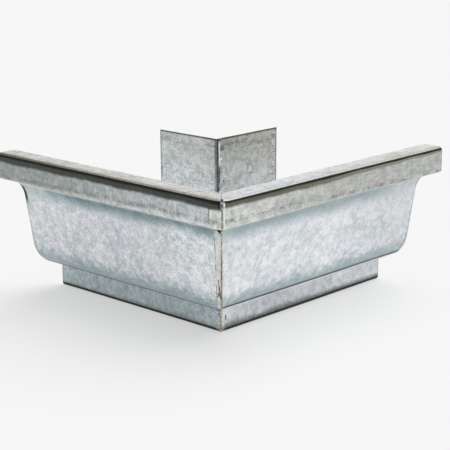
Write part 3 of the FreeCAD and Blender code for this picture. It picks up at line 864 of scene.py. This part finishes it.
def dropGrowth(name, sizes):
    # Blobs of solder on some of the path's points, each a little out of round
    growth = Growth(name, sizes)
    seed = growth.size("seed")
    points = growth.size("path")
    if sizes["spacing"]:
        line = growth.add("GeometryNodeMeshToCurve", None, [points])
        points = growth.add("GeometryNodeCurveToPoints", {"mode": "LENGTH"}, {
            0: line, 2: growth.size("spacing")})
    chosen = growth.add("FunctionNodeRandomValue", {"data_type": "BOOLEAN"}, {
        "Probability": growth.size("share"), "Seed": seed}, 3)
    width = growth.add("FunctionNodeRandomValue", {"data_type": "FLOAT"}, {
        2: growth.size("small"), 3: growth.size("large"), "Seed": seed}, 1)
    ball = growth.add("GeometryNodeMeshIcoSphere", None, {"Radius": 1.0, "Subdivisions": 3})
    drops = growth.add("GeometryNodeInstanceOnPoints", None, {
        "Points": points, "Selection": chosen, "Instance": ball, "Scale": width})
    drops = growth.add("GeometryNodeRealizeInstances", None, [drops])
    lumps = growth.add("ShaderNodeTexNoise", None, {"Scale": 900.0, "Detail": 1.0})
    normal = growth.add("GeometryNodeInputNormal")
    offset = growth.add("ShaderNodeVectorMath", {"operation": "SCALE"}, {
        0: normal, 3: (lumps - 0.5) * growth.size("large")})
    drops = growth.add("GeometryNodeSetPosition", None, {"Geometry": drops, "Offset": offset})
    growth.close(drops, solder)
    return growth


mitreLine = [seamPoint(height) for height in heightsBetween(seam["foot"], seam["head"])]
tabHeights = heightsBetween(seam["tabFoot"], seam["tabHead"])
tabLine = [seamPoint(height, wallTabWidth(height / mm) * mm) for height in tabHeights]
spots = [seamPoint(height * mm, along * mm) for height, along in dropSpots]
both = mitreLine + tabLine
bothEdges = [edge for edge in chain(both) if edge[0] != len(mitreLine) - 1]
solderPiece("mitreBead", beadGrowth(), mitreLine, chain(mitreLine))
solderPiece("seamTacks", dropGrowth("solderTacks", tackSizes), both, bothEdges)
solderPiece("seamDrops", dropGrowth("solderDrops", dropSizes), spots, [])

# The floor, the light and the camera

studio = {
    "floorReach": 60.0,
    "floorTone": tone(246, 246, 246),
    "floorFleck": tone(225, 225, 225),
    "floorFleckShare": 0.05,
    "floorGrain": 30.0,
    "floorGlow": 0.55,            # share of its own light, which keeps the shadow soft
    "keyStrength": 1.75,
    "keyFrom": Vector((0.35, -0.25, 1.0)),
    "keySpread": radians(70),
    "sideGlow": (0.62, 0.62, 0.62, 1.0),
    "sideUpTo": 0.45,             # of the way up the room, and the ceiling from 0.75
    "ceilingGlow": (0.45, 0.45, 0.45, 1.0),
    "ceilingFrom": 0.75,
    "sensor": 36.0,
    "lens": 109.48,
    "clip": (0.05, 30.0),
    "cameraAt": Vector((-538.548, -521.329, 235.769)) * mm,
    "cameraRight": Vector((0.69210, -0.72176, -0.00730)),
    "cameraUp": Vector((0.18498, 0.16758, 0.96835)),
}


def buildFloor():
    reach = studio["floorReach"]
    mesh = bpy.data.meshes.new("floor")
    corners = [(-reach, -reach, 0), (reach, -reach, 0), (reach, reach, 0), (-reach, reach, 0)]
    mesh.from_pydata(corners, [], [(0, 1, 2, 3)])
    floor = bpy.data.objects.new("floor", mesh)
    bpy.context.scene.collection.objects.link(floor)
    finish = Finish("floorPaper")
    point, parts = finish.place()
    grain = finish.cloud(point, studio["floorGrain"], 2.0)
    colour = finish.mix(grain * studio["floorFleckShare"], studio["floorTone"], studio["floorFleck"])
    paper = finish.add("ShaderNodeBsdfDiffuse", None, {"Color": colour})
    glow = finish.add("ShaderNodeEmission", None, {"Color": studio["floorTone"], "Strength": 1.0})
    shader = finish.add("ShaderNodeMixShader", None, {0: studio["floorGlow"], 1: paper, 2: glow})
    mesh.materials.append(finish.close(shader))


def buildLight():
    lamp = bpy.data.lights.new("keyLight", "SUN")
    lamp.energy = studio["keyStrength"]
    lamp.angle = studio["keySpread"]
    key = bpy.data.objects.new("keyLight", lamp)
    key.rotation_mode = "QUATERNION"
    key.rotation_quaternion = studio["keyFrom"].to_track_quat("Z", "Y")
    bpy.context.scene.collection.objects.link(key)
    world = bpy.data.worlds.new("studioRoom")
    bpy.context.scene.world = world
    world.use_nodes = True
    world.node_tree.nodes.clear()
    room = Nodes(world.node_tree)
    direction = room.add("ShaderNodeTexCoord")
    upward = room.add("ShaderNodeSeparateXYZ", None, [direction], 2)
    stops = ((studio["sideUpTo"], studio["sideGlow"]), (studio["ceilingFrom"], studio["ceilingGlow"]))
    colour = room.add("ShaderNodeValToRGB", {"stops": stops}, [upward])
    glow = room.add("ShaderNodeBackground", None, [colour])
    room.add("ShaderNodeOutputWorld", None, [glow])


def buildCamera():
    camera = bpy.data.objects.new("camera", bpy.data.cameras.new("camera"))
    camera.data.sensor_width = studio["sensor"]
    camera.data.lens = studio["lens"]
    camera.data.clip_start, camera.data.clip_end = studio["clip"]
    right = studio["cameraRight"].normalized()
    up = (studio["cameraUp"] - right * studio["cameraUp"].dot(right)).normalized()
    axes = Matrix((right, up, right.cross(up))).transposed().to_4x4()
    camera.matrix_world = Matrix.Translation(studio["cameraAt"]) @ axes
    bpy.context.scene.collection.objects.link(camera)
    bpy.context.scene.camera = camera


buildFloor()
buildLight()
buildCamera()
bpy.context.scene.view_settings.view_transform = "Standard"
print("floor, light and camera placed")
